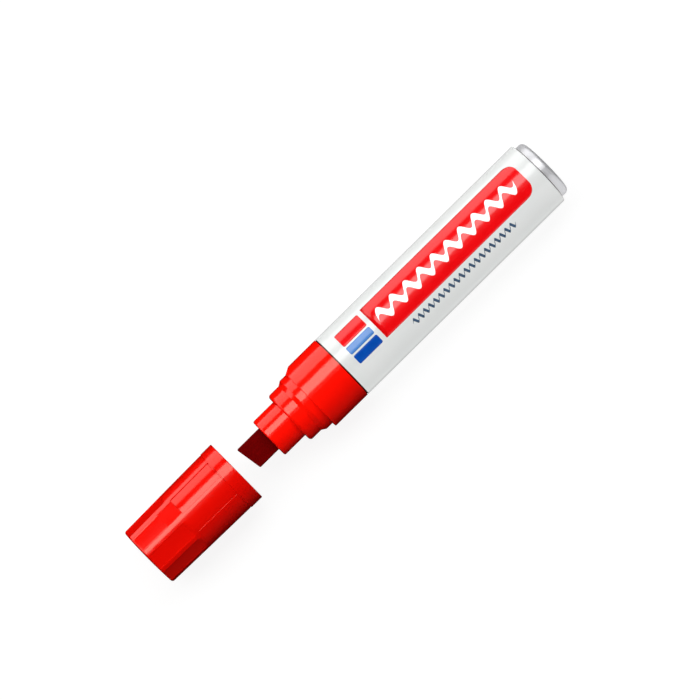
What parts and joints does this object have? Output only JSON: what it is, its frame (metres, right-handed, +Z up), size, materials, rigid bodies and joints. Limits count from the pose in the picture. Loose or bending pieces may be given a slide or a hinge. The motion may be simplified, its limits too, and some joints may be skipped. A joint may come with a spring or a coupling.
{
  "type": "felt tip marker",
  "caption": "Jumbo chisel-nib felt tip marker with a lacquered metal barrel, stepped plastic neck and fluted slide-off cap.",
  "frame": {"origin": "on the floor under the marker's axis, midway between the tail and the closed end of the drawn-off cap", "axes": "+X along the marker's axis from the tail towards the nib and the cap, +Z up, away from the surface it lies on"},
  "size_m": [0.1732, 0.0234, 0.0235],
  "materials": {
    "barrel": "gloss white lacquer with a bare aluminium foot",
    "neck": "gloss red moulding",
    "nib": "pressed felt soaked in dark red ink",
    "reservoir": "ink-soaked fibre bundle",
    "film": "thin clear film",
    "cap": "gloss red moulding",
    "seal": "soft natural white polyethylene"
  },
  "bodies": {
    "barrel": {"barrel": "barrel", "neck": "neck", "nib": "nib", "reservoir": "reservoir", "film": "film"},
    "cap": {"cap": "cap", "seal": "seal"}
  },
  "joints": [
    {"name": "cap_slide", "type": "slide", "parent": "barrel", "child": "cap", "axis": [1, 0, 0], "range_m": [-0.0316, 0]}
  ]
}
